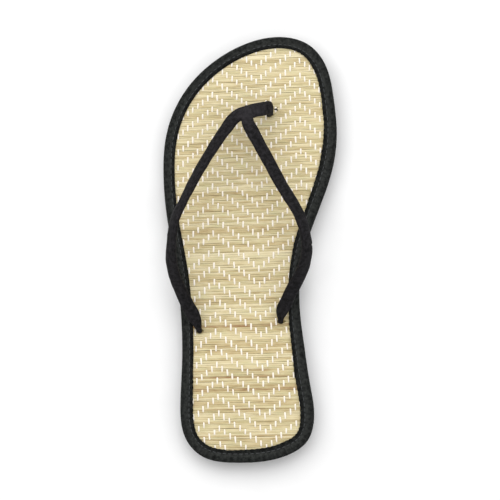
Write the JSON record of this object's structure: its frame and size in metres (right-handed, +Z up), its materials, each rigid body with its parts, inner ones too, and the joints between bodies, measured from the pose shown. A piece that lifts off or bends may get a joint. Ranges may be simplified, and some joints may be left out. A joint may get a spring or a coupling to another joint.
{
  "type": "bamboo flip-flop",
  "caption": "Left flip-flop with a woven bamboo footbed bound in black cloth tape, on a black foam sole, with a black cloth thong strap.",
  "frame": {"origin": "on the floor under the middle of the sole's length and width, on the flat underside", "axes": "+Y towards the toe, +X towards the inner side of the foot, +Z up"},
  "size_m": [0.1039, 0.2551, 0.0493],
  "materials": {
    "sole_foam": "matt black closed-cell foam",
    "insole_foam": "matt pale foam board, hidden",
    "bamboo": "split bamboo slivers held by white cotton threads, lightly satin",
    "binding_tape": "black cotton tape, plain weave, one row of stitches",
    "strap_cloth": "black cotton tube with a soft sheen"
  },
  "bodies": {
    "root": {"outsole": "sole_foam", "insole": "insole_foam", "bamboo_mat": "bamboo", "edge_binding": "binding_tape", "strap_upper": "strap_cloth"}
  },
  "joints": []
}
